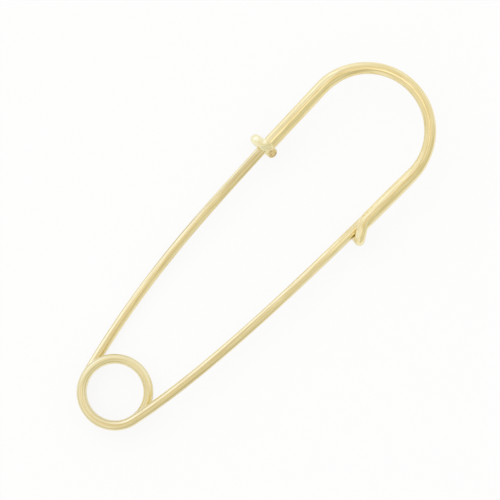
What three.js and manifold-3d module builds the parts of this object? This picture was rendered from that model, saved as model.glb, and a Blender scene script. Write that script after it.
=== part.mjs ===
// Large safety pin: a coiled spring wire with a pointed arm, and a bowed head whose rod ends
// are bent into hooks, one to catch the pointed arm and one to keep the back arm.
// Lengths are in millimetres and angles in degrees. The pin lies flat, X runs from the coil
// to the head, Y points to the pointed arm's side and Z points up.

import * as THREE from "three";
import { mergeVertices } from "three/addons/utils/BufferGeometryUtils.js";
import Module from "manifold-3d";

const wasm = await Module();
wasm.setup();

// Stock: the spring is of one wire, and the head of one thicker rod. The rod is thickest along
// the bow's straight sides, thinner round its bend and thinnest in the hooks.
const wireDiameter = 1.6;
const sideRodDiameter = 2.28;
const bendRodDiameter = 1.93;
const hookRodDiameter = 1.7;

// Spring coil, and the clear gap between its neighbouring turns
const coilMeanRadius = 5.33;
const turnGap = 0.45;

// Pointed arm: how it leaves the coil, how it enters the catch, and its ground point
const pinArmLean = 13.4;
const pinArmRootHandle = 17.6;
const pinArmHeadHandle = 16.3;
const pinArmHeadLean = 1.6;
const pinArmPastCatch = 6.0;
const pointLength = 5.0;
const pointTipRadius = 0.12;

// Back arm: the same for the fixed side of the spring
const backArmLean = 12.8;
const backArmRootHandle = 15.3;
const backArmHeadHandle = 8.0;
const backArmHeadLean = 2.0;
const backArmPastKeeper = 3.6;

// Head bow: a round bend with two straight sides that lean in a little towards the arms
const bowBendFromCoil = 57.82;
const bowMeanRadius = 10.0;
const bowPinSideLength = 11.76;
const bowPinSideLeanIn = 0.9;
const bowBackSideLength = 9.63;
const bowBackSideLeanIn = 1.1;

// Where the rod's thickness changes: middles of the two tapers, and the length of each
const pinSideTaperIntoBend = 5.0;
const backSideTaperIntoBend = 0.5;
const sideTaperLength = 8.0;

// Hooks: the tight bends' inside radius, then the way out, the way back in and the reach
const hookInsideRadius = 0.1;
const catchTurnOutAngle = 85.5;
const catchReachPastArm = 1.5;
const keeperTurnOutAngle = 33.0;
const keeperTurnOutRadius = 4.0;
const keeperOutLength = 0.7;
const keeperReturnTurn = 45.0;
const keeperShortOfArmSide = 0.45;

// Clearances: the gap that neighbours keep, and the saw gap between stretches of one wire
const seatGap = 0.2;
const splitGap = 0.1;

// Ends: how far the snipped face leans back, and the rounding of a tumbled end
const snipLean = 35.0;
const endRounding = 0.45;
const roundingSteps = 4;

// Facets: sides of a wire's section, and the length of one step along it
const sectionSides = 16;
const armStepLength = 2.0;
const bendStepLength = 0.9;
const hookStepLength = 0.4;

// Worked out from the sizes above: layers from the resting surface up, and the coil's turns
const wireRadius = wireDiameter / 2;
const sideRadius = sideRodDiameter / 2;
const bendRadius = bendRodDiameter / 2;
const hookRadius = hookRodDiameter / 2;
const jawHeight = hookRadius;
const legToArm = hookRadius + seatGap + wireRadius;
const armHeight = jawHeight + legToArm;
const bowHeight = armHeight + wireRadius + seatGap + sideRadius;
const turnOutRadius = sideRadius + hookInsideRadius;
const hookBendRadius = hookRadius + hookInsideRadius;
const legLength = bowHeight - jawHeight - 2 * hookBendRadius;
const fullTurn = 2 * Math.PI;
const coilTurnAngle = fullTurn + rad(180 - pinArmLean - backArmLean);
const coilStartAngle = -rad(90 + backArmLean);
const coilEndHeight = wireRadius;
const coilDrop = (wireDiameter + turnGap) / smooth(fullTurn / coilTurnAngle);
const coilStartHeight = coilEndHeight + coilDrop;

const along = new THREE.Vector3(1, 0, 0);
const across = new THREE.Vector3(0, 1, 0);
const up = new THREE.Vector3(0, 0, 1);
const down = new THREE.Vector3(0, 0, -1);

const springFinish = new THREE.Color(0.87, 0.78, 0.55);
const bowFinish = new THREE.Color(0.93, 0.86, 0.64);

function rad(degrees) {
  return THREE.MathUtils.degToRad(degrees);
}

function smooth(share) {
  return THREE.MathUtils.smoothstep(share, 0, 1);
}

// A level direction, by its angle from X towards Y
function level(degrees) {
  return new THREE.Vector3(Math.cos(rad(degrees)), Math.sin(rad(degrees)), 0);
}

// An arc of a circle in the plane of two axes, which may drop smoothly out of that plane
class TurnCurve extends THREE.Curve {
  constructor(centre, axisOne, axisTwo, radius, startAngle, turnAngle, drop = 0) {
    super();
    Object.assign(this, { centre, axisOne, axisTwo, radius, startAngle, turnAngle, drop });
  }

  getPoint(share, target = new THREE.Vector3()) {
    const angle = this.startAngle + this.turnAngle * share;
    target.copy(this.centre);
    target.addScaledVector(this.axisOne, this.radius * Math.cos(angle));
    target.addScaledVector(this.axisTwo, this.radius * Math.sin(angle));
    target.addScaledVector(down, this.drop * smooth(share));
    return target;
  }
}

// Straight stretches, and bends toward a new heading, one after the other
function bentCurves(start, heading, moves) {
  const point = start.clone();
  const direction = heading.clone();
  const curves = [];
  for (const move of moves) {
    if (move.straight !== undefined) {
      const end = point.clone().addScaledVector(direction, move.straight);
      curves.push(new THREE.LineCurve3(point.clone(), end));
      point.copy(end);
    } else {
      const outward = direction.clone().multiplyScalar(direction.dot(move.toward));
      outward.sub(move.toward).normalize();
      const centre = point.clone().addScaledVector(outward, -move.radius);
      const turn = direction.angleTo(move.toward);
      curves.push(new TurnCurve(centre, outward, direction.clone(), move.radius, 0, turn));
      curves[curves.length - 1].getPoint(1, point);
      direction.copy(move.toward);
    }
  }
  return curves;
}

function joinedPath(curves) {
  const path = new THREE.CurvePath();
  curves.forEach((curve) => path.add(curve));
  return path;
}

// A round rod along a path, whose radius depends on the distance from the path's start.
// Its section has flats at the true radius, so that a level rod has a flat side underneath.
function sweptRod(path, radiusAt, stepLength) {
  const length = path.getLength();
  const steps = Math.ceil(length / stepLength);
  const { normals, binormals } = path.computeFrenetFrames(steps, false);
  const corners = [];
  path.getSpacedPoints(steps).forEach((middle, row) => {
    const cornerRadius = radiusAt((length * row) / steps) / Math.cos(Math.PI / sectionSides);
    for (let side = 0; side < sectionSides; side += 1) {
      const angle = (fullTurn * (side + 0.5)) / sectionSides;
      const corner = middle.clone();
      corner.addScaledVector(normals[row], cornerRadius * Math.cos(angle));
      corner.addScaledVector(binormals[row], cornerRadius * Math.sin(angle));
      corners.push(...corner.toArray());
    }
  });
  return new wasm.Manifold(new wasm.Mesh({
    numProp: 3,
    vertProperties: new Float32Array(corners),
    triVerts: new Uint32Array(sweptTriangles(steps)),
  }));
}

function sweptTriangles(steps) {
  const triangles = [];
  for (let row = 0; row < steps; row += 1) {
    for (let side = 0; side < sectionSides; side += 1) {
      const near = row * sectionSides + side;
      const nearNext = row * sectionSides + ((side + 1) % sectionSides);
      const far = near + sectionSides;
      const farNext = nearNext + sectionSides;
      triangles.push(near, nearNext, farNext, near, farNext, far);
    }
  }
  const last = steps * sectionSides;
  for (let side = 1; side < sectionSides - 1; side += 1) {
    triangles.push(0, side + 1, side, last, last + side, last + side + 1);
  }
  return triangles;
}

function evenly(radius) {
  return () => radius;
}

function toSolid(geometry) {
  const bare = geometry.clone();
  bare.deleteAttribute("normal");
  bare.deleteAttribute("uv");
  const merged = mergeVertices(bare);
  return new wasm.Manifold(new wasm.Mesh({
    numProp: 3,
    vertProperties: new Float32Array(merged.attributes.position.array),
    triVerts: new Uint32Array(merged.index.array),
  }));
}

function toGeometry(solid) {
  const mesh = solid.getMesh();
  const geometry = new THREE.BufferGeometry();
  geometry.setAttribute("position", new THREE.BufferAttribute(mesh.vertProperties, 3));
  geometry.setIndex(new THREE.BufferAttribute(mesh.triVerts, 1));
  geometry.computeVertexNormals();
  return geometry;
}

// Grinds a level wire's far end to a profile of radius against depth, with a cup-shaped cutter
function groundEnd(solid, path, profile) {
  const inward = path.getTangent(1).negate();
  const side = new THREE.Vector3().crossVectors(inward, up).normalize();
  const third = new THREE.Vector3().crossVectors(side, inward);
  const placed = new THREE.Matrix4().makeBasis(side, inward, third).setPosition(path.getPoint(1));
  const last = profile[profile.length - 1];
  const cupRadius = 2 * last.radius;
  const points = [
    new THREE.Vector2(0, -cupRadius),
    new THREE.Vector2(cupRadius, -cupRadius),
    new THREE.Vector2(cupRadius, last.depth),
  ];
  for (const { radius, depth } of profile.toReversed()) {
    points.push(new THREE.Vector2(radius / Math.cos(Math.PI / sectionSides), depth));
  }
  points.push(new THREE.Vector2(0, 0));
  const cutter = new THREE.LatheGeometry(points, sectionSides, Math.PI / sectionSides);
  cutter.applyMatrix4(placed);
  return solid.subtract(toSolid(cutter));
}

function roundedProfile(wireEndRadius) {
  const profile = [];
  for (let i = 0; i <= roundingSteps; i += 1) {
    const angle = (Math.PI / 2) * (i / roundingSteps);
    const radius = wireEndRadius - endRounding * (1 - Math.sin(angle));
    profile.push({ radius, depth: endRounding * (1 - Math.cos(angle)) });
  }
  return profile;
}

function pointedProfile() {
  const profile = [];
  for (let i = 0; i <= roundingSteps; i += 1) {
    const share = i / roundingSteps;
    const swell = Math.sin((Math.PI / 2) * share);
    const radius = pointTipRadius + (wireRadius - pointTipRadius) * swell;
    profile.push({ radius, depth: pointLength * share });
  }
  return profile;
}

// Snips a level rod's far end so that its face looks up, with the lower edge at the rod's end
function snippedEnd(solid, path, radius) {
  const outward = path.getTangent(1);
  const normal = outward.clone().multiplyScalar(Math.cos(rad(snipLean)));
  normal.addScaledVector(up, Math.sin(rad(snipLean)));
  const size = 8 * radius;
  const centre = path.getPoint(1).addScaledVector(outward, -radius * Math.tan(rad(snipLean)));
  centre.addScaledVector(normal, size / 2);
  const turn = new THREE.Quaternion().setFromUnitVectors(up, normal);
  const cutter = new THREE.BoxGeometry(size, size, size);
  cutter.applyMatrix4(new THREE.Matrix4().compose(centre, turn, new THREE.Vector3(1, 1, 1)));
  return solid.subtract(toSolid(cutter));
}

function namedMesh(name, geometry, colour, roughness) {
  const material = new THREE.MeshStandardMaterial({ color: colour, roughness, metalness: 1.0 });
  const mesh = new THREE.Mesh(geometry, material);
  mesh.name = name;
  return mesh;
}

// The bow runs from the pointed arm's side, round its bend and along the back arm's side
const bowHeading = level(bowPinSideLeanIn);
const bowEndHeading = level(180 - bowBackSideLeanIn);
const bowStart = new THREE.Vector3(bowBendFromCoil, bowMeanRadius, bowHeight);
bowStart.addScaledVector(bowHeading, -bowPinSideLength);
const bowCurves = bentCurves(bowStart, bowHeading, [
  { straight: bowPinSideLength },
  { toward: level(-90), radius: bowMeanRadius },
  { toward: bowEndHeading, radius: bowMeanRadius },
  { straight: bowBackSideLength },
]);
const bowPath = joinedPath(bowCurves);
const bowEnd = bowPath.getPoint(1);

function shareOfTaper(distance, middle, length) {
  return smooth((distance - middle + length / 2) / length);
}

// The bow's rod thins from its side to its bend and thickens again to the other side
function bowRadiusAt(distance) {
  const thinMiddle = bowPinSideLength + pinSideTaperIntoBend;
  const thickMiddle = bowPath.getLength() - bowBackSideLength - backSideTaperIntoBend;
  const thinned = shareOfTaper(distance, thinMiddle, sideTaperLength);
  const thickened = shareOfTaper(distance, thickMiddle, sideTaperLength);
  return THREE.MathUtils.lerp(sideRadius, bendRadius, thinned - thickened);
}

// A hook turns out from the bow's side, thinning as it turns, goes down beside its arm and
// comes back in under it
function bentHook(start, heading, outMoves, returnHeading, jawLength) {
  const afterSplit = start.clone().addScaledVector(heading, splitGap);
  const turnDown = { toward: down, radius: hookBendRadius };
  const outCurves = bentCurves(afterSplit, heading, [...outMoves, turnDown]);
  const leg = outCurves[outCurves.length - 1].getPoint(1);
  const backCurves = bentCurves(leg, down, [
    { straight: legLength },
    { toward: returnHeading, radius: hookBendRadius },
    { straight: jawLength },
  ]);
  const taperLength = outCurves[0].getLength();
  const radiusAt = (distance) => {
    const thinned = shareOfTaper(distance, taperLength / 2, taperLength);
    return THREE.MathUtils.lerp(sideRadius, hookRadius, thinned);
  };
  return { leg, radiusAt, path: joinedPath([...outCurves, ...backCurves]) };
}

const catchOutAngle = 180 + bowPinSideLeanIn - catchTurnOutAngle;
const catchJawLength = legToArm + wireRadius + catchReachPastArm - hookBendRadius;
const catchHook = bentHook(
  bowStart,
  bowHeading.clone().negate(),
  [{ toward: level(catchOutAngle), radius: turnOutRadius }],
  level(catchOutAngle - 180),
  catchJawLength,
);

const keeperOutAngle = 180 - bowBackSideLeanIn + keeperTurnOutAngle;
const keeperReturnAngle = keeperOutAngle - 180 + keeperReturnTurn;
const keeperCrossing = (legToArm + wireRadius - keeperShortOfArmSide) / Math.sin(rad(keeperReturnAngle));
const keeperHook = bentHook(
  bowEnd,
  bowEndHeading,
  [{ toward: level(keeperOutAngle), radius: keeperTurnOutRadius }, { straight: keeperOutLength }],
  level(keeperReturnAngle),
  keeperCrossing - hookBendRadius,
);

// One side of the spring: leaves the coil on a lean, bows gently and lies beside its hook's leg
function armPath(arm) {
  const away = level(arm.side * (90 + arm.lean));
  const rootHeading = level(arm.side * arm.lean);
  const headHeading = level(arm.side * arm.headLean);
  const root = away.multiplyScalar(coilMeanRadius).addScaledVector(rootHeading, splitGap);
  root.z = arm.rootHeight;
  const head = new THREE.Vector3(arm.leg.x, arm.leg.y - arm.side * legToArm, armHeight);
  const rootControl = root.clone().addScaledVector(rootHeading, arm.rootHandle);
  const headControl = head.clone().addScaledVector(headHeading, -arm.headHandle);
  const end = head.clone().addScaledVector(headHeading, arm.pastHook);
  return joinedPath([
    new THREE.CubicBezierCurve3(root, rootControl, headControl, head),
    new THREE.LineCurve3(head, end),
  ]);
}

function buildPinArm() {
  const path = armPath({
    side: 1,
    lean: pinArmLean,
    rootHandle: pinArmRootHandle,
    headHandle: pinArmHeadHandle,
    headLean: pinArmHeadLean,
    pastHook: pinArmPastCatch,
    rootHeight: coilEndHeight,
    leg: catchHook.leg,
  });
  const wire = sweptRod(path, evenly(wireRadius), armStepLength);
  const pointed = groundEnd(wire, path, pointedProfile());
  return namedMesh("pin_arm", toGeometry(pointed), springFinish, 0.35);
}

function buildBackArm() {
  const path = armPath({
    side: -1,
    lean: backArmLean,
    rootHandle: backArmRootHandle,
    headHandle: backArmHeadHandle,
    headLean: backArmHeadLean,
    pastHook: backArmPastKeeper,
    rootHeight: coilStartHeight,
    leg: keeperHook.leg,
  });
  const wire = sweptRod(path, evenly(wireRadius), armStepLength);
  const rounded = groundEnd(wire, path, roundedProfile(wireRadius));
  return namedMesh("back_arm", toGeometry(rounded), springFinish, 0.35);
}

// The coil winds clockwise, seen from above, down from the back arm to the pointed arm
function coilCurve() {
  const centre = new THREE.Vector3(0, 0, coilStartHeight);
  const turn = -coilTurnAngle;
  return new TurnCurve(centre, along, across, coilMeanRadius, coilStartAngle, turn, coilDrop);
}

function buildSpringCoil() {
  const wire = sweptRod(joinedPath([coilCurve()]), evenly(wireRadius), bendStepLength);
  return namedMesh("spring_coil", toGeometry(wire), springFinish, 0.35);
}

function leastGapToItself(curve) {
  const samples = 720;
  const halfTurnSamples = Math.round((samples * Math.PI) / coilTurnAngle);
  const points = curve.getSpacedPoints(samples);
  let least = Infinity;
  for (let i = 0; i + halfTurnSamples <= samples; i += 1) {
    for (let j = i + halfTurnSamples; j <= samples; j += 1) {
      least = Math.min(least, points[i].distanceTo(points[j]));
    }
  }
  return least - wireDiameter;
}

function buildHeadBow() {
  const rod = sweptRod(bowPath, bowRadiusAt, bendStepLength);
  return namedMesh("head_bow", toGeometry(rod), bowFinish, 0.25);
}

// The catch hook's free end shows inside the pointed arm, so it is snipped to look up
function buildCatchHook() {
  const rod = sweptRod(catchHook.path, catchHook.radiusAt, hookStepLength);
  const snipped = snippedEnd(rod, catchHook.path, hookRadius);
  return namedMesh("catch_hook", toGeometry(snipped), bowFinish, 0.25);
}

function buildKeeperHook() {
  const rod = sweptRod(keeperHook.path, keeperHook.radiusAt, hookStepLength);
  const rounded = groundEnd(rod, keeperHook.path, roundedProfile(hookRadius));
  return namedMesh("keeper_hook", toGeometry(rounded), bowFinish, 0.25);
}

const pin = new THREE.Group();
pin.name = "safety_pin";
pin.add(buildSpringCoil(), buildBackArm(), buildPinArm());
pin.add(buildHeadBow(), buildCatchHook(), buildKeeperHook());

// The origin is under the middle of the whole pin, on the surface that it lies on
pin.updateMatrixWorld(true);
const bounds = new THREE.Box3().setFromObject(pin, true);
const middle = bounds.getCenter(new THREE.Vector3());
pin.position.set(-middle.x, -middle.y, -bounds.min.z);

console.log(`spring_coil: least gap to itself ${leastGapToItself(coilCurve()).toFixed(3)} mm`);
console.log(`coil axis at x ${pin.position.x.toFixed(4)}, y ${pin.position.y.toFixed(4)} mm`);

export default pin;
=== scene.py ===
"""A large open-coil safety pin, lying face up on a pale floor.

The pin has two pieces. The spring wire makes the pointed arm, the coil and the back arm, and the
thicker head rod makes the bow and the two hooks that hold the arms. The coil lies towards -X, the
bow towards +X and the pointed arm on the +Y side. Every length is in metres.
"""

import logging
import math
from dataclasses import dataclass, field
from enum import Enum
from typing import Any, Callable, Protocol, Sequence

import bpy
import numpy as np
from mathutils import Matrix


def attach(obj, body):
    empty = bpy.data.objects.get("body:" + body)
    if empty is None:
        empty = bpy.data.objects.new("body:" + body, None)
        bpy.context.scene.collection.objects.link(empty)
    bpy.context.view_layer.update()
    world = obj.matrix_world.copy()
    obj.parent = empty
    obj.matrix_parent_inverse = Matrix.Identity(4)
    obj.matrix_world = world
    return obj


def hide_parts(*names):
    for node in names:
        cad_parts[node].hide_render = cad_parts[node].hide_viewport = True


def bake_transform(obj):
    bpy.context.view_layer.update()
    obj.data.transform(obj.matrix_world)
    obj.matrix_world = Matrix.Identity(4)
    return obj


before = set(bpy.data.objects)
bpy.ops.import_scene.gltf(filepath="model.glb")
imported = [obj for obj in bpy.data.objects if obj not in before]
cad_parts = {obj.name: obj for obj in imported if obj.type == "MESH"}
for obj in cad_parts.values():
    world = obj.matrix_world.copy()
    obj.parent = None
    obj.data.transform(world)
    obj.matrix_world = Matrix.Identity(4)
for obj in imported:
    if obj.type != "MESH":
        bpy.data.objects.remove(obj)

LOG = logging.getLogger("safety_pin")
MM = 0.001
UP = np.array((0.0, 0.0, 1.0))
DOWN = -UP

Colour = tuple[float, float, float]
Array = np.ndarray


class Body(Enum):
    """The bodies that pieces move with."""

    FRAME = "frame"
    POINTED_ARM = "pointed_arm"


class Node(Enum):
    """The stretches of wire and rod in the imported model."""

    SPRING_COIL = "spring_coil"
    BACK_ARM = "back_arm"
    PIN_ARM = "pin_arm"
    HEAD_BOW = "head_bow"
    CATCH_HOOK = "catch_hook"
    KEEPER_HOOK = "keeper_hook"


class Slot(Enum):
    """The material slots of the record."""

    SPRING_WIRE = "spring_wire"
    HEAD_ROD = "head_rod"


class Mark(Enum):
    """What the making of the pin leaves at places on its surface, with the painted highlights and
    the painted shade, kept per point from 0 to 1.
    """

    PRESSED = "pressed"
    GROUND = "ground"
    BARE = "bare"
    # Real wear where the pin rests in the catch, and painted highlight on the hooks' turned-down
    # bends and on the coil.
    RUBBED = "rubbed"
    STRAINED = "strained"
    # Painted shade in the corner between the keeper hook and the back arm.
    TARNISHED = "tarnished"


DRAWN_PLACE = "drawn_place"


def smoothstep(value: Array) -> Array:
    """Ease a share between 0 and 1."""
    share = np.clip(value, 0.0, 1.0)
    return share * share * (3.0 - 2.0 * share)


def level(degrees: float) -> Array:
    """Give the level direction at an angle from +X towards +Y."""
    return np.array((math.cos(math.radians(degrees)), math.sin(math.radians(degrees)), 0.0))


def tilted(heading: float, tilt: float) -> Array:
    """Give a direction.

    Args:
        heading: Its angle from +X towards +Y, in degrees.
        tilt: Its angle from straight up, in degrees.

    Returns:
        The unit direction.
    """
    return level(heading) * math.sin(math.radians(tilt)) + UP * math.cos(math.radians(tilt))


def running_length(points: Array) -> Array:
    """Give the length run at each point of a line, from 0 at the first."""
    steps = np.linalg.norm(np.diff(points, axis=0), axis=1)
    return np.concatenate([[0.0], np.cumsum(steps)])


def opaque(colour: Colour) -> tuple[float, float, float, float]:
    """Add full alpha to a colour."""
    return (*colour, 1.0)


class Shade:
    """A shader socket that can be used in sums and products."""

    def __init__(self, graph: "ShaderGraph", socket: bpy.types.NodeSocket) -> None:
        """Wrap a socket of a graph."""
        self.graph = graph
        self.socket = socket

    def _math(self, operation: str, first: "Shade | float", second: "Shade | float") -> "Shade":
        """Add a Math node on two values."""
        return self.graph.add("ShaderNodeMath", {"operation": operation}, {0: first, 1: second})

    def __add__(self, other: "Shade | float") -> "Shade":
        """Add a value."""
        return self._math("ADD", self, other)

    __radd__ = __add__

    def __sub__(self, other: "Shade | float") -> "Shade":
        """Take a value away."""
        return self._math("SUBTRACT", self, other)

    def __rsub__(self, other: float) -> "Shade":
        """Take this value away from a number."""
        return self._math("SUBTRACT", other, self)

    def __mul__(self, other: "Shade | float") -> "Shade":
        """Multiply by a value."""
        return self._math("MULTIPLY", self, other)

    __rmul__ = __mul__

    def clamped(self) -> "Shade":
        """Keep the value between 0 and 1."""
        return self.graph.add(
            "ShaderNodeClamp", {}, {"Value": self, "Min": 0.0, "Max": 1.0}
        )

    def between(self, low: float, high: float) -> "Shade":
        """Ease the value into a share.

        Args:
            low: Value that gives 0.
            high: Value that gives 1.

        Returns:
            The eased share, from 0 to 1.
        """
        return self.graph.add(
            "ShaderNodeMapRange",
            {"interpolation_type": "SMOOTHSTEP"},
            {"Value": self, "From Min": low, "From Max": high, "To Min": 0.0, "To Max": 1.0},
        )


class ShaderGraph:
    """The node tree of one material or of the world."""

    def __init__(self, owner: "bpy.types.Material | bpy.types.World") -> None:
        """Empty the owner's node tree and take it over."""
        owner.use_nodes = True
        self.tree = owner.node_tree
        self.tree.nodes.clear()

    def add(
        self,
        kind: str,
        settings: dict[str, Any],
        sockets: dict["str | int", Any],
        output: "str | int" = 0,
    ) -> "Shade | None":
        """Add a node.

        Args:
            kind: The node's type.
            settings: Its own settings, which are set first.
            sockets: Values or links of its input sockets, by name or index.
            output: Which of its output sockets to give back.

        Returns:
            The node's output, or nothing for a node that has none.
        """
        node = self.tree.nodes.new(kind)
        for name, value in settings.items():
            setattr(node, name, value)
        for key, value in sockets.items():
            if isinstance(value, Shade):
                self.tree.links.new(value.socket, node.inputs[key])
            else:
                node.inputs[key].default_value = value
        return Shade(self, node.outputs[output]) if node.outputs else None

    def mixed(self, share: Shade, first: "Shade | Colour", second: "Shade | Colour") -> Shade:
        """Mix two colours.

        Args:
            share: How much of the second colour.
            first: The colour at 0.
            second: The colour at 1.

        Returns:
            The mixed colour.
        """
        low, high = (tone if isinstance(tone, Shade) else opaque(tone) for tone in (first, second))
        return self.add("ShaderNodeMix", {"data_type": "RGBA"}, {0: share, 6: low, 7: high}, 2)

    def mark(self, mark: Mark) -> Shade:
        """Read a mark of the making from the mesh."""
        return self.add("ShaderNodeAttribute", {"attribute_name": mark.value}, {}, "Fac")


@dataclass(frozen=True)
class Pattern:
    """A noise over the straight wire, stretched along it."""

    across: float
    along: float
    detail: float
    roughness: float = 0.55

    def over(self, place: Shade) -> Shade:
        """Lay the noise over the wire.

        Args:
            place: Where the point was on the straight wire, in millimetres.

        Returns:
            Values round a half.
        """
        stretched = place.graph.add(
            "ShaderNodeVectorMath",
            {"operation": "MULTIPLY"},
            {0: place, 1: (self.across, self.across, self.along)},
        )
        settings = {"Scale": 1.0, "Detail": self.detail, "Roughness": self.roughness}
        return place.graph.add("ShaderNodeTexNoise", {}, {"Vector": stretched, **settings}, "Fac")


@dataclass(frozen=True)
class Effects:
    """How strongly each pattern, each mark of the making and the painted highlights and shade
    change one property.
    """

    lines: float = 0.0
    bands: float = 0.0
    scores: float = 0.0
    handling: float = 0.0
    pressed: float = 0.0
    rubbed: float = 0.0
    bare: float = 0.0
    tarnished: float = 0.0
    strained: float = 0.0


@dataclass(frozen=True)
class DrawnFinish:
    """Gold-toned metal drawn through a die, with lines that run along the wire."""

    name: str
    pale: Colour
    deep: Colour
    roughness: float
    line_depth: float
    line_tone: float
    band_depth: float
    score_share: float
    burnish_and_sheen_share: float
    # Pale colour of the painted highlights on the hooks' bends, the coil and the pressed flats,
    # and of the real wear where the pin rests in the catch.
    burnish_and_sheen: Colour = (0.95, 0.89, 0.58)
    scored: Colour = (0.52, 0.41, 0.18)
    bare: Colour = (0.79, 0.62, 0.25)
    bruised: Colour = (0.50, 0.35, 0.15)
    # Dark colour of the painted shade in the keeper hook's corner.
    tarnish: Colour = (0.30, 0.21, 0.09)
    lacquer_roughness: float = 0.16
    lacquer_ior: float = 1.5
    line_pattern: Pattern = Pattern(across=7.0, along=0.30, detail=3.0)
    band_pattern: Pattern = Pattern(across=3.1, along=0.02, detail=1.0)
    score_pattern: Pattern = Pattern(across=2.9, along=0.03, detail=1.5)
    score_span: tuple[float, float] = (0.55, 0.63)
    chip_pattern: Pattern = Pattern(across=2.4, along=2.4, detail=2.0)
    chip_span: tuple[float, float] = (0.42, 0.60)
    handling_pattern: Pattern = Pattern(across=0.45, along=0.22, detail=3.0)
    grain_pattern: Pattern = Pattern(across=14.0, along=9.0, detail=2.0)
    ring_pattern: Pattern = Pattern(across=0.6, along=16.0, detail=2.0)
    mean_tone: float = 0.42
    tone: Effects = Effects(bands=2.4, handling=0.5, strained=0.30)
    colour: Effects = Effects(strained=0.35, pressed=0.34, tarnished=0.85)
    rough: Effects = Effects(
        lines=0.14,
        scores=0.10,
        handling=0.16,
        pressed=0.08,
        rubbed=0.07,
        bare=0.15,
        tarnished=0.20,
    )
    score_cut: float = 0.8
    ring_height: float = 0.6
    grain_height: float = 0.12
    core_grain_height: float = 0.5
    chip_height: float = 2.5
    relief: float = 0.01 * MM

    def material(self) -> bpy.types.Material:
        """Build the finish.

        Returns:
            The material.
        """
        material = bpy.data.materials.new(self.name)
        graph = ShaderGraph(material)
        place = graph.add(
            "ShaderNodeAttribute", {"attribute_name": DRAWN_PLACE}, {}, "Vector"
        )
        lines = self.line_pattern.over(place)
        bands = self.band_pattern.over(place)
        scores = self.score_pattern.over(place).between(*self.score_span)
        chips = self.chip_pattern.over(place).between(*self.chip_span)
        handling = self.handling_pattern.over(place)
        grain = self.grain_pattern.over(place)
        rings = self.ring_pattern.over(place)
        pressed, ground, bare, rubbed, strained, tarnished = map(graph.mark, Mark)

        depth = (
            (lines - 0.5) * self.line_tone
            + (bands - 0.5) * self.tone.bands
            + (handling - 0.5) * self.tone.handling
            + self.mean_tone
            + strained * self.tone.strained
        )
        toned = graph.mixed(depth.clamped(), self.pale, self.deep)
        score_share = strained * self.colour.strained + self.score_share
        lined = graph.mixed(scores * score_share, toned, self.scored)
        # Painted highlight: paler on the hooks' bends, the coil and the pressed flats; real wear
        # where the pin rests in the catch.
        burnish_and_sheen_amount = (rubbed * self.burnish_and_sheen_share + pressed * self.colour.pressed).clamped()
        with_burnish_and_sheen = graph.mixed(burnish_and_sheen_amount, lined, self.burnish_and_sheen)
        core = graph.mixed(chips, self.bare, self.bruised)
        clean = graph.mixed(bare, with_burnish_and_sheen, core)
        # Painted shade: darker in the corner between the keeper hook and the back arm.
        colour = graph.mixed(tarnished * self.colour.tarnished, clean, self.tarnish)

        rough = (
            self.roughness
            + (lines - 0.5) * self.rough.lines
            + (handling - 0.5) * self.rough.handling
            + scores * self.rough.scores
            + pressed * self.rough.pressed
            + bare * self.rough.bare
            + tarnished * self.rough.tarnished
            - rubbed * self.rough.rubbed
        ).clamped()
        drawn = lines * self.line_depth + bands * self.band_depth - scores * self.score_cut
        height = (
            drawn * (1.0 - ground)
            + rings * ground * self.ring_height
            + grain * (self.grain_height + bare * self.core_grain_height)
            + chips * bare * self.chip_height
        )
        normal = graph.add(
            "ShaderNodeBump", {}, {"Strength": 1.0, "Distance": self.relief, "Height": height}
        )
        surface = graph.add(
            "ShaderNodeBsdfPrincipled",
            {},
            {
                "Base Color": colour,
                "Metallic": 1.0,
                "Roughness": rough,
                "Coat Weight": 1.0,
                "Coat Roughness": self.lacquer_roughness,
                "Coat IOR": self.lacquer_ior,
                "Normal": normal,
            },
        )
        graph.add("ShaderNodeOutputMaterial", {}, {"Surface": surface})
        return material


@dataclass(frozen=True)
class FloorFinish:
    """Smooth white paper, which the camera sees nearly as bright as the studio around it."""

    name: str = "white_paper"
    paper: Colour = (0.90, 0.90, 0.90)
    fibre: Colour = (0.93, 0.93, 0.93)
    fibre_scale: float = 900.0
    glow: Colour = (1.0, 1.0, 1.0)
    seen_share: float = 0.86
    mirrored_share: float = 0.5

    def material(self) -> bpy.types.Material:
        """Build the finish.

        Returns:
            The material.
        """
        material = bpy.data.materials.new(self.name)
        graph = ShaderGraph(material)
        weave = {"Scale": self.fibre_scale, "Detail": 4.0, "Roughness": 0.6}
        fibres = graph.add("ShaderNodeTexNoise", {}, weave, "Fac")
        tone = graph.mixed(fibres, self.paper, self.fibre)
        paper = graph.add("ShaderNodeBsdfDiffuse", {}, {"Color": tone})
        shine = {"Color": opaque(self.glow), "Strength": 1.0}
        glow = graph.add("ShaderNodeEmission", {}, shine)
        rays = "ShaderNodeLightPath"
        camera = graph.add(rays, {}, {}, "Is Camera Ray")
        glossy = graph.add(rays, {}, {}, "Is Glossy Ray")
        through = graph.add(rays, {}, {}, "Is Transmission Ray")
        mirrored = (glossy + through).clamped()
        share = camera * self.seen_share + mirrored * self.mirrored_share
        surface = graph.add("ShaderNodeMixShader", {}, {0: share, 1: paper, 2: glow})
        graph.add("ShaderNodeOutputMaterial", {}, {"Surface": surface})
        return material


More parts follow.
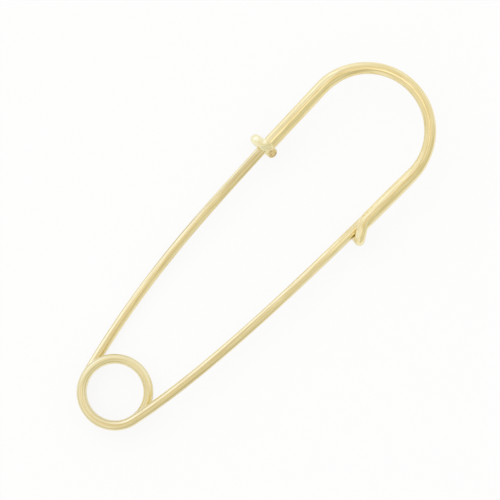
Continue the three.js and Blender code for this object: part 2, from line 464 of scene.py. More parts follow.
class Former:
    """Bends a wire's centre line in straight stretches and arcs, one after the other."""

    sample_step = 0.04 * MM
    fewest_arc_steps = 6

    def __init__(self, start: Array, heading: Array) -> None:
        """Start a line.

        Args:
            start: Its first point.
            heading: The unit direction in which it leaves that point.
        """
        self.points = [np.array(start, float)]
        self.heading = np.array(heading, float)

    def straight(self, length: float) -> "Former":
        """Run straight on.

        Args:
            length: How far.

        Returns:
            This former, for the next move.
        """
        start = self.points[-1]
        steps = max(1, math.ceil(length / self.sample_step))
        for share in np.arange(1, steps + 1) / steps:
            self.points.append(start + self.heading * (length * share))
        return self

    def toward(self, heading: Array, radius: float) -> "Former":
        """Bend to a new heading.

        Args:
            heading: The unit direction after the bend.
            radius: The bend's radius at the wire's middle.

        Returns:
            This former, for the next move.
        """
        outward = self.heading * (self.heading @ heading) - heading
        outward /= np.linalg.norm(outward)
        centre = self.points[-1] - outward * radius
        turn = math.acos(max(-1.0, min(1.0, float(self.heading @ heading))))
        steps = max(self.fewest_arc_steps, math.ceil(turn * radius / self.sample_step))
        for angle in turn * np.arange(1, steps + 1) / steps:
            spoke = outward * math.cos(angle) + self.heading * math.sin(angle)
            self.points.append(centre + spoke * radius)
        self.heading = np.array(heading, float)
        return self

    def curve(self, handle: float, end: Array, end_heading: Array, end_handle: float) -> "Former":
        """Run along one smooth curve to a point.

        Args:
            handle: How strongly the curve keeps the present heading.
            end: The curve's last point.
            end_heading: The unit direction in which it arrives.
            end_handle: How strongly it takes that direction up beforehand.

        Returns:
            This former, for the next move.
        """
        start = self.points[-1]
        first = start + self.heading * handle
        second = end - end_heading * end_handle
        steps = math.ceil(float(np.linalg.norm(end - start)) / self.sample_step)
        for share in np.arange(1, steps + 1) / steps:
            left = 1.0 - share
            self.points.append(
                start * left**3
                + first * (3.0 * left**2 * share)
                + second * (3.0 * left * share**2)
                + end * share**3
            )
        self.heading = np.array(end_heading, float)
        return self


@dataclass
class CentreLine:
    """The line through a wire's middle, with a pair of side directions that never twist."""

    points: Array
    reach: Array = field(init=False)
    sides: Array = field(init=False)

    tangent_span = 0.06 * MM
    same_point = 1e-9
    turn_sample = 0.1 * MM
    fewest_samples = 8
    easing_window = 7
    least_turn = 1e-6

    def __post_init__(self) -> None:
        """Measure the line and carry one side direction along it."""
        steps = np.linalg.norm(np.diff(self.points, axis=0), axis=1)
        kept = np.concatenate([[True], steps > self.same_point])
        self.points = self.points[kept]
        self.reach = running_length(self.points)
        along = self.directions(self.reach)
        side = np.cross(along[0], UP)
        side /= np.linalg.norm(side)
        carried = []
        for direction in along:
            side = side - direction * (side @ direction)
            side /= np.linalg.norm(side)
            carried.append(side)
        self.sides = np.array(carried)

    @property
    def length(self) -> float:
        """Length of the line."""
        return float(self.reach[-1])

    def at(self, distances: Array) -> Array:
        """Give the points at distances along the line."""
        columns = [np.interp(distances, self.reach, self.points[:, axis]) for axis in range(3)]
        return np.stack(columns, axis=1)

    def directions(self, distances: Array) -> Array:
        """Give the unit directions at distances along the line."""
        span = self.tangent_span
        middle = np.clip(distances, span, self.length - span)
        ahead = self.at(middle + span) - self.at(middle - span)
        return ahead / np.linalg.norm(ahead, axis=1, keepdims=True)

    def side_pairs(self, distances: Array) -> tuple[Array, Array]:
        """Give two directions across the line.

        Args:
            distances: Distances along the line.

        Returns:
            Two arrays of unit directions, square to each other and to the line.
        """
        along = self.directions(distances)
        columns = [np.interp(distances, self.reach, self.sides[:, axis]) for axis in range(3)]
        side = np.stack(columns, axis=1)
        side -= along * np.sum(side * along, axis=1, keepdims=True)
        side /= np.linalg.norm(side, axis=1, keepdims=True)
        return side, np.cross(along, side)

    def stations(self, start: float, stop: float, steps: "StationSteps") -> Array:
        """Choose where a wire's sections go, closer together in bends.

        Args:
            start: First distance along the line.
            stop: Last distance along the line.
            steps: How far apart sections may be.

        Returns:
            Distances in rising order, with start and stop among them.
        """
        count = max(self.fewest_samples, math.ceil((stop - start) / self.turn_sample))
        samples = np.linspace(start, stop, count)
        along = self.directions(samples)
        turn = np.linalg.norm(np.diff(along, axis=0), axis=1) / np.diff(samples)
        window = self.easing_window
        padded = np.pad(turn, window // 2, mode="edge")
        eased = np.maximum(
            np.convolve(padded, np.ones(window) / window, mode="valid"), self.least_turn
        )
        spacing = np.clip(steps.turn / eased, steps.shortest, steps.longest)
        passed = np.concatenate([[0.0], np.cumsum(np.diff(samples) / spacing)])
        wanted = np.linspace(0.0, passed[-1], max(2, math.ceil(passed[-1]) + 1))
        return np.interp(wanted, passed, samples)


@dataclass(frozen=True)
class StationSteps:
    """How far apart the sections of a wire's mesh may be."""

    shortest: float = 0.07 * MM
    longest: float = 0.9 * MM
    turn: float = math.radians(4.0)


@dataclass(frozen=True)
class EndRing:
    """One section near a wire's end."""

    depth: float
    radius: float
    slant: float = 0.0
    bare: float = 0.0
    ground: float = 0.0


class WireEnd(Protocol):
    """A way of finishing a wire's end."""

    lean: float

    def rings(self, radius: float) -> list[EndRing]:
        """Give the sections from the end's face inward."""


@dataclass(frozen=True)
class JoinedEnd:
    """A plain end, where the same wire carries on as another mesh."""

    lean: float = 0.0

    def rings(self, radius: float) -> list[EndRing]:
        """Give the one section of a plain end."""
        return [EndRing(0.0, radius)]


@dataclass(frozen=True)
class RoundedEnd:
    """An end whose rim is rounded off by tumbling."""

    rounding: float = 0.45 * MM
    lean: float = 0.0
    face_shares: tuple[float, ...] = (0.35, 0.75, 0.95)
    rim_sections: int = 10

    def rings(self, radius: float) -> list[EndRing]:
        """Give the sections of a rounded end.

        Args:
            radius: The wire's radius.

        Returns:
            Sections from the face inward.
        """
        flat = radius - self.rounding
        face = [EndRing(0.0, flat * share) for share in self.face_shares]
        rim = []
        for angle in np.linspace(0.0, math.pi / 2.0, self.rim_sections):
            inset = self.rounding * (1.0 - math.sin(angle))
            rim.append(EndRing(self.rounding * (1.0 - math.cos(angle)), radius - inset))
        return face + rim


@dataclass(frozen=True)
class PointedEnd:
    """A ground needle point."""

    length: float = 5.0 * MM
    tip_radius: float = 0.12 * MM
    lean: float = 0.0
    sections: int = 40
    crowding: float = 1.6
    ground_share: float = 0.8
    thinnest: float = 0.01 * MM

    def rings(self, radius: float) -> list[EndRing]:
        """Give the sections of a ground point.

        Args:
            radius: The wire's radius.

        Returns:
            Sections from the tip inward.
        """
        rings = []
        for share in np.linspace(0.0, 1.0, self.sections) ** self.crowding:
            depth = self.length * share
            swell = math.sin(math.pi / 2.0 * share)
            width = self.tip_radius + (radius - self.tip_radius) * swell
            blunt = min(1.0, depth / self.tip_radius)
            width *= math.sqrt(1.0 - (1.0 - blunt) ** 2) if blunt < 1.0 else 1.0
            left = (share - self.ground_share) / (1.0 - self.ground_share)
            ground = 1.0 - float(smoothstep(np.array(left)))
            rings.append(EndRing(depth, max(width, self.thinnest), ground=ground))
        return rings


@dataclass(frozen=True)
class SnippedEnd:
    """An end cut off at a slant, so that its face looks up and shows the metal's core."""

    lean: float = 35.0
    rim: float = 0.13 * MM
    face_shares: tuple[float, ...] = (0.3, 0.65, 0.92)
    edge_bare: float = 0.7
    rim_bare: float = 0.25
    rim_start: float = 0.3
    rim_sections: int = 4
    easing_shares: tuple[float, ...] = (0.1, 0.25, 0.45, 0.7, 1.0)
    easing_reach: float = 3.0

    def rings(self, radius: float) -> list[EndRing]:
        """Give the sections of a snipped end.

        Args:
            radius: The wire's radius.

        Returns:
            Sections from the face inward.
        """
        middle = radius * math.tan(math.radians(self.lean))
        face = [
            EndRing(middle, (radius - self.rim) * share, 1.0, bare=1.0)
            for share in self.face_shares
        ]
        sections = face + [EndRing(middle, radius - self.rim, 1.0, bare=self.edge_bare)]
        for angle in np.linspace(self.rim_start, math.pi / 2.0, self.rim_sections):
            inset = self.rim * (1.0 - math.sin(angle))
            depth = middle + self.rim * (1.0 - math.cos(angle))
            sections.append(EndRing(depth, radius - inset, 1.0, bare=self.rim_bare))
        begin = sections[-1].depth
        for share in self.easing_shares:
            depth = begin + self.easing_reach * middle * share
            sections.append(EndRing(depth, radius, 1.0 - share))
        return sections


@dataclass(frozen=True)
class PressedFlat:
    """A flat that the bending tool left on the outside of a tight bend."""

    distance: float
    facing: Array
    depth: float
    spread: float


@dataclass(frozen=True)
class ShadedCorner:
    """A corner between two pieces, darkened with painted shade."""

    place: Array
    reach: float


@dataclass
class WireStretch:
    """A length of round wire, meshed from its centre line."""

    name: str
    line: CentreLine
    radius_at: Callable[[Array], Array]
    start: float
    stop: float
    near_end: WireEnd
    far_end: WireEnd
    sides: int = 48
    steps: StationSteps = StationSteps()
    flats: Sequence[PressedFlat] = ()
    rubbed: Sequence[tuple[float, float]] = ()
    tarnished: Sequence[ShadedCorner] = ()
    strained_at: "Callable[[Array], Array] | None" = None

    press_blend = 0.03 * MM

    def build(self) -> bpy.types.Object:
        """Mesh the wire.

        Returns:
            The new object, in place.
        """
        sections, slants = self._sections()
        points = self._points(sections, slants)
        marks = self._marks(sections)
        self._press(points, marks)
        self._tarnish(points, marks)
        return self._object(sections, points, marks)

    def _angles(self) -> Array:
        """Give the angles of a section's points."""
        return np.linspace(0.0, 2.0 * math.pi, self.sides, endpoint=False)

    def _sections(self) -> tuple[Array, Array]:
        """List the sections from the near end to the far end.

        Returns:
            Rows of distance, radius, bare and ground, and the slants as lean times share.
        """
        near_radius, far_radius = self.radius_at(np.array([self.start, self.stop]))
        near = self.near_end.rings(float(near_radius))
        far = self.far_end.rings(float(far_radius))
        body = self.line.stations(
            self.start + near[-1].depth, self.stop - far[-1].depth, self.steps
        )[1:-1]
        rows = [
            (self.start + ring.depth, ring.radius, ring.bare, ring.ground, -ring.slant)
            for ring in near
        ]
        rows += [
            (distance, radius, 0.0, 0.0, 0.0)
            for distance, radius in zip(body, self.radius_at(body))
        ]
        rows += [
            (self.stop - ring.depth, ring.radius, ring.bare, ring.ground, ring.slant)
            for ring in reversed(far)
        ]
        table = np.array(rows)
        return table[:, :4], table[:, 4]

    def _points(self, sections: Array, slants: Array) -> Array:
        """Place every section's points.

        Args:
            sections: The sections.
            slants: Their slants, below 0 at the near end.

        Returns:
            Points by section and side, then the middles of the first and last section.
        """
        centre = self.line.at(sections[:, 0])
        along = self.line.directions(sections[:, 0])
        first, second = self.line.side_pairs(sections[:, 0])
        angles = self._angles()
        spokes = (
            first[:, None, :] * np.cos(angles)[None, :, None]
            + second[:, None, :] * np.sin(angles)[None, :, None]
        ) * sections[:, 1][:, None, None]
        lean = np.where(slants < 0.0, self.near_end.lean, self.far_end.lean)
        rise = (spokes @ UP) * (np.tan(np.radians(lean)) * slants)[:, None]
        placed = centre[:, None, :] + spokes - along[:, None, :] * rise[:, :, None]
        return np.concatenate([placed.reshape(-1, 3), centre[[0, -1]]])

    def _marks(self, sections: Array) -> dict[Mark, Array]:
        """Work out the marks of the making and the painted highlights at every point.

        Args:
            sections: The sections.

        Returns:
            A value per point for each mark.
        """
        rubbed = np.zeros(len(sections))
        for middle, half in self.rubbed:
            rubbed = np.maximum(
                rubbed, smoothstep(1.0 - np.abs(sections[:, 0] - middle) / half)
            )
        unmarked = np.zeros(len(sections))
        strained = self.strained_at(sections[:, 0]) if self.strained_at else unmarked
        by_section = {
            Mark.BARE: sections[:, 2],
            Mark.GROUND: sections[:, 3],
            Mark.RUBBED: rubbed,
            Mark.STRAINED: strained,
            Mark.PRESSED: unmarked,
            Mark.TARNISHED: unmarked,
        }
        return {
            mark: np.concatenate([np.repeat(values, self.sides), values[[0, -1]]])
            for mark, values in by_section.items()
        }

    def _press(self, points: Array, marks: dict[Mark, Array]) -> None:
        """Flatten the places where the bending tool pressed.

        Args:
            points: The mesh's points, which are moved.
            marks: The marks, of which the pressed one is filled in.
        """
        for flat in self.flats:
            place = np.array([flat.distance])
            middle = self.line.at(place)[0]
            face = middle + flat.facing * (float(self.radius_at(place)[0]) - flat.depth)
            above = (points - face) @ flat.facing
            near = np.linalg.norm(points - face, axis=1) < flat.spread
            hit = near & (above > 0.0)
            points[hit] -= above[hit, None] * flat.facing
            share = smoothstep(1.0 + above / self.press_blend) * near
            marks[Mark.PRESSED] = np.maximum(marks[Mark.PRESSED], share)

    def _tarnish(self, points: Array, marks: dict[Mark, Array]) -> None:
        """Paint shade into the corners between pieces.

        Args:
            points: The mesh's points.
            marks: The marks, of which the painted shade is filled in.
        """
        for corner in self.tarnished:
            away = np.linalg.norm(points - corner.place, axis=1)
            share = smoothstep(1.0 - away / corner.reach)
            marks[Mark.TARNISHED] = np.maximum(marks[Mark.TARNISHED], share)

    def _object(
        self, sections: Array, points: Array, marks: dict[Mark, Array]
    ) -> bpy.types.Object:
        """Make the Blender object.

        Args:
            sections: The sections.
            points: The mesh's points.
            marks: The marks of the making.

        Returns:
            The new object.
        """
        count, sides = len(sections), self.sides
        faces: list[tuple[int, ...]] = []
        corners: list[tuple[float, float]] = []
        turn_length = 2.0 * math.pi * float(np.max(sections[:, 1]))
        heights = sections[:, 0] / turn_length
        for row in range(count - 1):
            for side in range(sides):
                after = (side + 1) % sides
                low, high = row * sides, (row + 1) * sides
                faces.append((low + side, low + after, high + after, high + side))
                left, right = side / sides, (side + 1) / sides
                corners += [
                    (left, heights[row]),
                    (right, heights[row]),
                    (right, heights[row + 1]),
                    (left, heights[row + 1]),
                ]
        near_middle, far_middle = count * sides, count * sides + 1
        last = (count - 1) * sides
        for side in range(sides):
            after = (side + 1) % sides
            faces.append((near_middle, after, side))
            faces.append((far_middle, last + side, last + after))
            corners += [(side / sides, heights[0])] * 3 + [(side / sides, heights[-1])] * 3
        mesh = bpy.data.meshes.new(self.name)
        mesh.from_pydata(points.tolist(), [], faces)
        mesh.uv_layers.new(name="around_and_along").data.foreach_set(
            "uv", np.array(corners, np.float32).ravel()
        )
        self._keep_attributes(mesh, sections, marks)
        self._shade(mesh, sides, last)
        built = bpy.data.objects.new(self.name, mesh)
        bpy.context.scene.collection.objects.link(built)
        return built

    def _keep_attributes(
        self, mesh: bpy.types.Mesh, sections: Array, marks: dict[Mark, Array]
    ) -> None:
        """Store the straight wire's coordinates and the marks on the mesh.

        Args:
            mesh: The mesh.
            sections: The sections.
            marks: The marks of the making.
        """
        angles = self._angles()
        across = sections[:, 1] / MM
        place = np.stack(
            [
                across[:, None] * np.cos(angles)[None, :],
                across[:, None] * np.sin(angles)[None, :],
                np.repeat(sections[:, 0][:, None] / MM, self.sides, axis=1),
            ],
            axis=2,
        ).reshape(-1, 3)
        middles = np.array([(0.0, 0.0, sections[0, 0] / MM), (0.0, 0.0, sections[-1, 0] / MM)])
        stored = mesh.attributes.new(DRAWN_PLACE, "FLOAT_VECTOR", "POINT")
        stored.data.foreach_set(
            "vector", np.concatenate([place, middles]).astype(np.float32).ravel()
        )
        for mark, values in marks.items():
            layer = mesh.attributes.new(mark.value, "FLOAT", "POINT")
            layer.data.foreach_set("value", values.astype(np.float32))

    def _shade(self, mesh: bpy.types.Mesh, sides: int, last: int) -> None:
        """Shade the mesh smooth, with a sharp rim on each plain end.

        Args:
            mesh: The mesh.
            sides: Sides of its sections.
            last: First point of its last section.
        """
        mesh.shade_smooth()
        rims: set[int] = set()
        if isinstance(self.near_end, JoinedEnd):
            rims.update(range(sides))
        if isinstance(self.far_end, JoinedEnd):
            rims.update(range(last, last + sides))
        for edge in mesh.edges:
            if edge.vertices[0] in rims and edge.vertices[1] in rims:
                edge.use_edge_sharp = True


@dataclass
class Placement:
    """Where the coil's axis stands in the pin's frame, on the surface that the pin lies on."""

    coil_x: float = -31.4009 * MM
    coil_y: float = -0.2971 * MM
    floor_gap: float = 0.0117 * MM

    def moved(self, points: Array) -> Array:
        """Move points from the coil's axis to the pin's frame."""
        return points + np.array((self.coil_x, self.coil_y, self.floor_gap))


@dataclass
class HeadRod:
    """The thick rod: a bow with a hook bent at each end. Places count from the coil's axis."""

    placement: Placement
    finish: DrawnFinish
    side_radius: float = 1.14 * MM
    bend_radius: float = 0.965 * MM
    hook_radius: float = 0.85 * MM
    wire_radius: float = 0.8 * MM
    seat_gap: float = 0.2 * MM
    inside_radius: float = 0.1 * MM
    bend_from_coil: float = 57.82 * MM
    bow_radius: float = 10.0 * MM
    pin_side_length: float = 11.76 * MM
    pin_side_lean_in: float = 0.9
    back_side_length: float = 9.63 * MM
    back_side_lean_in: float = 1.1
    pin_side_taper_into_bend: float = 5.0 * MM
    back_side_taper_into_bend: float = 0.5 * MM
    side_taper_length: float = 8.0 * MM
    joint_length: float = 0.1 * MM
    catch_turn_out: float = 85.5
    catch_reach_past_arm: float = 1.5 * MM
    keeper_turn_out: float = 33.0
    keeper_turn_out_radius: float = 4.0 * MM
    keeper_out_length: float = 0.7 * MM
    keeper_return_turn: float = 45.0
    keeper_short_of_arm_side: float = 0.45 * MM
    # Half lengths of the painted highlights on the two hooks' bends.
    catch_wear_and_sheen_half: float = 2.7 * MM
    keeper_sheen_half: float = 0.8 * MM
    corner_from_keeper_leg: tuple[float, float] = (-0.30 * MM, 1.00 * MM)
    corner_above_arm: float = 0.15 * MM
    corner_shade_reach: float = 0.75 * MM
    catch_leg: Array = field(init=False)
    keeper_leg: Array = field(init=False)
    line: CentreLine = field(init=False)
    bow_start_distance: float = field(init=False)
    bow_stop_distance: float = field(init=False)
    catch_taper_length: float = field(init=False)
    keeper_taper_length: float = field(init=False)

    @property
    def hook_bend(self) -> float:
        """Give the radius of a hook's bends at the rod's middle."""
        return self.hook_radius + self.inside_radius

    @property
    def leg_to_arm(self) -> float:
        """Give the distance between a hook's leg and its arm."""
        return self.hook_radius + self.seat_gap + self.wire_radius

    @property
    def arm_height(self) -> float:
        """Give the height of the arms' middles in the hooks."""
        return self.hook_radius + self.leg_to_arm

    @property
    def height(self) -> float:
        """Give the height of the bow's middle."""
        return self.arm_height + self.wire_radius + self.seat_gap + self.side_radius

    def __post_init__(self) -> None:
        """Bend the rod's centre line from the catch hook's free end to the keeper's."""
        hook_bend = self.hook_bend
        leg_length = self.height - self.hook_radius - 2.0 * hook_bend
        heading = level(self.pin_side_lean_in)
        start = np.array((self.bend_from_coil, self.bow_radius, self.height))
        start = start - heading * self.pin_side_length

        turn_out = self.side_radius + self.inside_radius
        out_angle = 180.0 + self.pin_side_lean_in - self.catch_turn_out
        self.catch_taper_length = turn_out * math.radians(self.catch_turn_out)
        catch = Former(start, -heading).straight(self.joint_length)
        catch.toward(level(out_angle), turn_out).toward(DOWN, hook_bend)
        self.catch_leg = catch.points[-1]
        jaw = self.leg_to_arm + self.wire_radius + self.catch_reach_past_arm
        catch.straight(leg_length).toward(level(out_angle - 180.0), hook_bend)
        catch.straight(jaw - hook_bend)

        end_angle = 180.0 - self.back_side_lean_in
        bow = Former(start, heading).straight(self.pin_side_length)
        bow.toward(level(-90.0), self.bow_radius).toward(level(end_angle), self.bow_radius)
        bow.straight(self.back_side_length)
        before_keeper = len(bow.points)
        keeper_angle = end_angle + self.keeper_turn_out
        self.keeper_taper_length = self.keeper_turn_out_radius * math.radians(self.keeper_turn_out)
        bow.straight(self.joint_length)
        bow.toward(level(keeper_angle), self.keeper_turn_out_radius)
        bow.straight(self.keeper_out_length).toward(DOWN, hook_bend)
        self.keeper_leg = bow.points[-1]
        return_angle = keeper_angle - 180.0 + self.keeper_return_turn
        crossing = self.leg_to_arm + self.wire_radius - self.keeper_short_of_arm_side
        crossing /= math.sin(math.radians(return_angle))
        bow.straight(leg_length).toward(level(return_angle), hook_bend)
        bow.straight(crossing - hook_bend)

        caught = list(reversed(catch.points))
        points = np.array(caught + bow.points[1:])
        self.line = CentreLine(self.placement.moved(points))
        reach = running_length(points)
        self.bow_start_distance = float(reach[len(caught) - 1])
        self.bow_stop_distance = float(reach[len(caught) - 2 + before_keeper])

    def radius_at(self, distances: Array) -> Array:
        """Give the rod's radius, which is least in the hooks and greatest along the sides.

        Args:
            distances: Distances along the rod.

        Returns:
            The radii.
        """
        into_catch = self.bow_start_distance - self.joint_length - distances
        into_keeper = distances - self.bow_stop_distance - self.joint_length
        hooked = smoothstep(into_catch / self.catch_taper_length)
        hooked = hooked + smoothstep(into_keeper / self.keeper_taper_length)
        return (
            self.side_radius
            + (self.hook_radius - self.side_radius) * hooked
            + (self.bend_radius - self.side_radius) * self.bent_share(distances)
        )

    def bent_share(self, distances: Array) -> Array:
        """Tell how much the rod was drawn thin by the bow's round bend.

        Args:
            distances: Distances along the rod.

        Returns:
            Shares, 0 along the sides and in the hooks and 1 in the bend.
        """
        thinning = self.bow_start_distance + self.pin_side_length + self.pin_side_taper_into_bend
        thickening = (
            self.bow_stop_distance - self.back_side_length - self.back_side_taper_into_bend
        )
        begun = smoothstep((distances - thinning) / self.side_taper_length + 0.5)
        ended = smoothstep((distances - thickening) / self.side_taper_length + 0.5)
        return begun - ended

    def flats(self) -> list[PressedFlat]:
        """Place the flats on the outsides of the two hooks' tight bends.

        Returns:
            The flats.
        """
        catch_middle = self.bow_start_distance - self.joint_length - self.catch_taper_length / 2.0
        keeper_middle = self.bow_stop_distance + self.joint_length + self.keeper_taper_length
        keeper_middle += self.keeper_out_length
        catch_facing = tilted(heading=-134.0, tilt=38.0)
        keeper_facing = tilted(heading=123.0, tilt=34.0)
        return [
            PressedFlat(catch_middle, catch_facing, depth=0.24 * MM, spread=1.1 * MM),
            PressedFlat(keeper_middle, keeper_facing, depth=0.10 * MM, spread=0.85 * MM),
        ]

    def rubbed(self) -> list[tuple[float, float]]:
        """Place the painted highlights on the bends where each hook turns down.

        Returns:
            The middle of each and half of its length.
        """
        half_bend = self.hook_bend * math.pi / 4.0
        catch = self.bow_start_distance - self.joint_length - self.catch_taper_length - half_bend
        keeper = self.bow_stop_distance + self.joint_length + self.keeper_taper_length
        keeper += self.keeper_out_length + 2.0 * half_bend
        return [(catch, self.catch_wear_and_sheen_half), (keeper, self.keeper_sheen_half)]

    def keeper_corner(self) -> ShadedCorner:
        """Find the corner between the keeper hook's leg and the back arm, where shade is painted.
        """
        beside = self.keeper_leg[:2] + np.array(self.corner_from_keeper_leg)
        corner = np.array((*beside, self.arm_height + self.corner_above_arm))
        return ShadedCorner(self.placement.moved(corner), self.corner_shade_reach)

    def build(self) -> list[bpy.types.Object]:
        """Mesh the rod, dress it and let it ride.

        Returns:
            The rod.
        """
        stretch = WireStretch(
            name="head_rod",
            line=self.line,
            radius_at=self.radius_at,
            start=0.0,
            stop=self.line.length,
            near_end=SnippedEnd(),
            far_end=RoundedEnd(),
            sides=64,
            flats=self.flats(),
            rubbed=self.rubbed(),
            tarnished=[self.keeper_corner()],
            strained_at=self.bent_share,
        )
        rod = stretch.build()
        rod.data.materials.append(self.finish.material())
        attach(rod, Body.FRAME.value)
        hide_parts(Node.HEAD_BOW.value, Node.CATCH_HOOK.value, Node.KEEPER_HOOK.value)
        LOG.info("head rod: %.1f mm long, %d faces", self.line.length / MM, len(rod.data.polygons))
        return [rod]


@dataclass(frozen=True)
class ArmShape:
    """The course of one arm, from the coil to just past its hook."""

    side: int
    lean: float
    root_handle: float
    head_handle: float
    head_lean: float
    past_hook: float


@dataclass
class SpringWire:
    """The spring wire: back arm, open coil and pointed arm. Places count from the coil's axis."""

    placement: Placement
    finish: DrawnFinish
    head: HeadRod
    radius: float = 0.8 * MM
    coil_radius: float = 5.33 * MM
    turn_gap: float = 0.45 * MM
    joint_length: float = 0.1 * MM
    coil_samples: int = 1400
    # Half length of the painted highlight along the coil's middle.
    coil_sheen_half: float = 40.0 * MM
    # Half length of the real wear where the pin rests in the catch.
    catch_wear_and_sheen_half: float = 1.6 * MM
    blend_below_axis: float = 4.4 * MM
    blend_above_axis: float = 4.3 * MM
    pin_arm: ArmShape = ArmShape(
        side=1,
        lean=13.4,
        root_handle=17.6 * MM,
        head_handle=16.3 * MM,
        head_lean=1.6,
        past_hook=6.0 * MM,
    )
    back_arm: ArmShape = ArmShape(
        side=-1,
        lean=12.8,
        root_handle=15.3 * MM,
        head_handle=8.0 * MM,
        head_lean=2.0,
        past_hook=3.6 * MM,
    )
    line: CentreLine = field(init=False)
    turn_end_distance: float = field(init=False)
    coil_middle_distance: float = field(init=False)

    def __post_init__(self) -> None:
        """Lay the wire's centre line from the back arm's end round the coil to the point."""
        turn = 2.0 * math.pi + math.radians(180.0 - self.pin_arm.lean - self.back_arm.lean)
        full_turn_share = 2.0 * math.pi / turn
        drop = (2.0 * self.radius + self.turn_gap) / float(smoothstep(np.array(full_turn_share)))
        top = self.radius + drop
        start_angle = -math.radians(90.0 + self.back_arm.lean)

        shares = np.linspace(0.0, 1.0, self.coil_samples)
        angles = start_angle - turn * shares
        coil = np.stack(
            [
                self.coil_radius * np.cos(angles),
                self.coil_radius * np.sin(angles),
                top - drop * smoothstep(shares),
            ],
            axis=1,
        )
        back = self._arm(self.back_arm, top, self.head.keeper_leg)
        pin = self._arm(self.pin_arm, self.radius, self.head.catch_leg)
        points = np.concatenate([np.array(back[::-1]), coil, np.array(pin)])
        self.line = CentreLine(self.placement.moved(points))
        reach = running_length(points)
        after_turn = len(back) + int(round(full_turn_share * (len(coil) - 1)))
        self.turn_end_distance = float(reach[after_turn])
        self.coil_middle_distance = float(reach[len(back) + len(coil) // 2])

    def _arm(self, arm: ArmShape, root_height: float, leg: Array) -> list[Array]:
        """Lay one arm's centre line.

        Args:
            arm: The arm's course.
            root_height: Height at which the arm leaves the coil.
            leg: The end of its hook's outward bend, beside which the arm lies.

        Returns:
            Points from the coil outward.
        """
        heading = level(arm.side * arm.lean)
        root = level(arm.side * (90.0 + arm.lean)) * self.coil_radius + UP * root_height
        head_heading = level(arm.side * arm.head_lean)
        beside = leg[1] - arm.side * self.head.leg_to_arm
        head = np.array((leg[0], beside, self.head.arm_height))
        former = Former(root, heading).straight(self.joint_length)
        former.curve(arm.root_handle, head, head_heading, arm.head_handle)
        former.straight(arm.past_hook)
        return former.points

    def radius_at(self, distances: Array) -> Array:
        """Give the wire's radius, which is the same all along."""
        return np.full(len(distances), self.radius)

    def build(self) -> list[bpy.types.Object]:
        """Mesh the wire in two pieces, dress them and let the fixed piece ride.

        The two pieces meet where the coil's first turn is complete, under the back arm's root.

        Returns:
            The fixed run and the run that ends in the point.
        """
        material = self.finish.material()
        pin_length = self.line.length
        # Painted highlight along the middle of the coil.
        coil_sheen = (self.coil_middle_distance, self.coil_sheen_half)
        fixed = WireStretch(
            name="back_arm_and_coil_turn",
            line=self.line,
            radius_at=self.radius_at,
            start=0.0,
            stop=self.turn_end_distance,
            near_end=RoundedEnd(),
            far_end=JoinedEnd(),
            steps=StationSteps(longest=0.3 * MM),
            rubbed=[coil_sheen],
            tarnished=[self.head.keeper_corner()],
        ).build()
        moving = WireStretch(
            name="coil_end_and_pointed_arm",
            line=self.line,
            radius_at=self.radius_at,
            start=self.turn_end_distance,
            stop=pin_length,
            near_end=JoinedEnd(),
            far_end=PointedEnd(),
            rubbed=[coil_sheen, (pin_length - self.pin_arm.past_hook, self.catch_wear_and_sheen_half)],
        ).build()
        for piece in (fixed, moving):
            piece.data.materials.append(material)
            LOG.info("%s: %d faces", piece.name, len(piece.data.polygons))
        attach(fixed, Body.FRAME.value)
        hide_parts(Node.SPRING_COIL.value, Node.BACK_ARM.value)
        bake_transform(moving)
        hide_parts(Node.PIN_ARM.value)
        return [fixed, moving]


@dataclass(frozen=True)
class RoomLight:
    """How bright and warm the studio is in each direction from the pin."""

    above: Colour = (0.89, 0.82, 0.70)
    around: Colour = (0.92, 0.92, 0.92)
    shaded_side: Colour = (0.745, 0.735, 0.64)
    lit_side: Colour = (1.05, 1.10, 1.26)
    lit_horizon: Colour = (1.40, 1.52, 1.90)
    shaded_heading: float = -95.0
    lit_heading: float = 82.0
    shaded_span: tuple[float, float] = (0.04, 0.42)
    lit_span: tuple[float, float] = (0.15, 0.88)
    horizon_span: tuple[float, float] = (0.02, 0.30)
    above_span: tuple[float, float] = (0.70, 0.98)
    narrowing: float = 0.6


@dataclass(frozen=True)
class SoftLamp:
    """A soft round lamp that faces the pin."""

    name: str
    heading: float
    tilt: float
    distance: float
    size: tuple[float, float]
    radiance: float
    tint: Colour = (1.0, 1.0, 1.0)
    mirrored: bool = True

    def hang(self) -> None:
        """Make the lamp and point it at the pin."""
        lamp = bpy.data.lights.new(self.name, "AREA")
        lamp.shape = "ELLIPSE"
        lamp.size, lamp.size_y = self.size
        lamp.energy = self.radiance * math.pi * self.size[0] * self.size[1]
        lamp.color = self.tint
        holder = bpy.data.objects.new(self.name, lamp)
        direction = tilted(self.heading, self.tilt)
        holder.location = tuple(direction * self.distance)
        slope = math.atan2(float(direction[1]), float(direction[2]))
        holder.rotation_euler = (-slope, 0.0, 0.0)
        holder.visible_camera = False
        holder.visible_glossy = self.mirrored
        bpy.context.scene.collection.objects.link(holder)


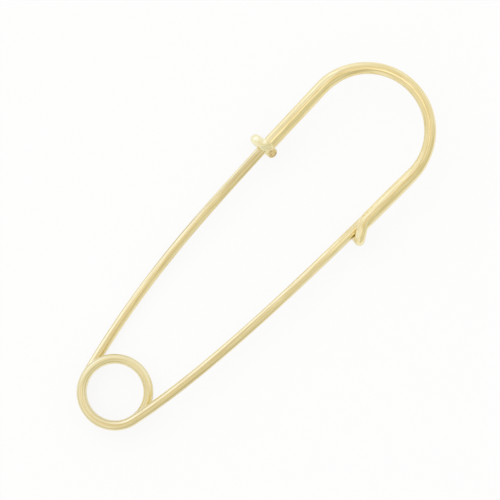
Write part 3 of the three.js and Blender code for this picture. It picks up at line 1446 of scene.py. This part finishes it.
@dataclass
class Studio:
    """The pale floor, the two lamps and the bright room around the pin."""

    floor_finish: FloorFinish
    room: RoomLight = RoomLight()
    floor_half: float = 4.0
    key: SoftLamp = SoftLamp(
        "key_softbox",
        heading=90.0,
        tilt=42.0,
        distance=0.75,
        size=(0.9, 0.8),
        radiance=0.5,
        mirrored=False,
    )
    top: SoftLamp = SoftLamp(
        "top_lamp",
        heading=90.0,
        tilt=0.0,
        distance=0.22,
        size=(0.06, 0.06),
        radiance=0.30,
        tint=(0.85, 0.96, 1.20),
    )

    def build(self) -> None:
        """Set up the floor, the lamps and the room."""
        self._floor()
        self._room()
        self.key.hang()
        self.top.hang()
        LOG.info("studio: floor, room and two lamps")

    def _floor(self) -> None:
        """Lay the floor."""
        half = self.floor_half
        mesh = bpy.data.meshes.new("floor")
        mesh.from_pydata(
            [(-half, -half, 0.0), (half, -half, 0.0), (half, half, 0.0), (-half, half, 0.0)],
            [],
            [(0, 1, 2, 3)],
        )
        floor = bpy.data.objects.new("floor", mesh)
        bpy.context.scene.collection.objects.link(floor)
        mesh.materials.append(self.floor_finish.material())

    def _room(self) -> None:
        """Light the room, most from the key lamp's side and least from the other side."""
        world = bpy.data.worlds.new("studio_room")
        bpy.context.scene.world = world
        graph = ShaderGraph(world)
        direction = graph.add("ShaderNodeTexCoord", {}, {}, "Generated")
        height = graph.add("ShaderNodeSeparateXYZ", {}, {0: direction}, "Z")
        room = self.room
        shaded = self._toward(direction, room.shaded_heading).between(*room.shaded_span)
        lit = self._toward(direction, room.lit_heading).between(*room.lit_span)
        low = lit * (1.0 - height.between(*room.horizon_span))
        high = height.between(*room.above_span)
        plain = graph.mixed(high, room.around, room.above)
        darkened = graph.mixed(shaded, plain, room.shaded_side)
        lightened = graph.mixed(lit, darkened, room.lit_side)
        tone = graph.mixed(low, lightened, room.lit_horizon)
        background = graph.add("ShaderNodeBackground", {}, {"Color": tone, "Strength": 1.0})
        graph.add("ShaderNodeOutputWorld", {}, {"Surface": background})

    def _toward(self, direction: Shade, heading: float) -> Shade:
        """Tell how much a direction lies in a wedge round a heading.

        Args:
            direction: The direction.
            heading: The wedge's middle, as an angle from +X towards +Y in degrees.

        Returns:
            Up to 1 at the wedge's middle on the horizon, below 0 outside the wedge.
        """
        graph = direction.graph
        ahead, aside = (
            graph.add(
                "ShaderNodeVectorMath",
                {"operation": "DOT_PRODUCT"},
                {0: direction, 1: tuple(level(angle))},
                "Value",
            )
            for angle in (heading, heading + 90.0)
        )
        spread = graph.add("ShaderNodeMath", {"operation": "ABSOLUTE"}, {0: aside})
        return ahead - spread * self.room.narrowing


@dataclass
class PortraitCamera:
    """Looks straight down on the pin through a long lens, turned as in the photograph."""

    aim_x: float = -0.1009 * MM
    aim_y: float = -0.0371 * MM
    aim_height: float = 3.0 * MM
    distance: float = 1.2
    frame_width: float = 79.8 * MM
    turn: float = 46.0
    sensor: float = 36.0
    farthest: float = 20.0

    def build(self) -> None:
        """Make the camera and take it into use."""
        camera = bpy.data.cameras.new("portrait_camera")
        camera.sensor_width = self.sensor
        camera.lens = self.sensor * self.distance / self.frame_width
        camera.clip_end = self.farthest
        holder = bpy.data.objects.new("portrait_camera", camera)
        holder.location = (self.aim_x, self.aim_y, self.aim_height + self.distance)
        holder.rotation_euler = (0.0, 0.0, -math.radians(self.turn))
        bpy.context.scene.collection.objects.link(holder)
        bpy.context.scene.camera = holder
        bpy.context.scene.view_settings.view_transform = "Standard"
        LOG.info("camera: %.0f mm lens", camera.lens)


def corners(box: Any) -> list[list[float]]:
    """List a box's two corners as plain numbers."""
    return [[float(number) for number in corner] for corner in box]


def main() -> None:
    """Build the pin and its studio."""
    logging.basicConfig(level=logging.INFO, format="%(message)s")
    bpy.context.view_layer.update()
    placement = Placement()
    head = HeadRod(
        placement,
        DrawnFinish(
            name="head_rod_gold",
            pale=(0.98, 0.86, 0.505),
            deep=(0.85, 0.71, 0.35),
            roughness=0.15,
            line_depth=0.5,
            line_tone=5.0,
            band_depth=4.0,
            score_share=0.20,
            burnish_and_sheen_share=1.0,
        ),
    )
    head.build()
    spring = SpringWire(
        placement,
        DrawnFinish(
            name="spring_wire_gold",
            pale=(0.96, 0.84, 0.50),
            deep=(0.79, 0.65, 0.32),
            roughness=0.20,
            line_depth=0.9,
            line_tone=2.8,
            band_depth=8.0,
            score_share=0.60,
            burnish_and_sheen_share=0.45,
        ),
        head,
    )
    spring.build()
    Studio(FloorFinish()).build()
    PortraitCamera().build()


if __name__ == "__main__":
    main()
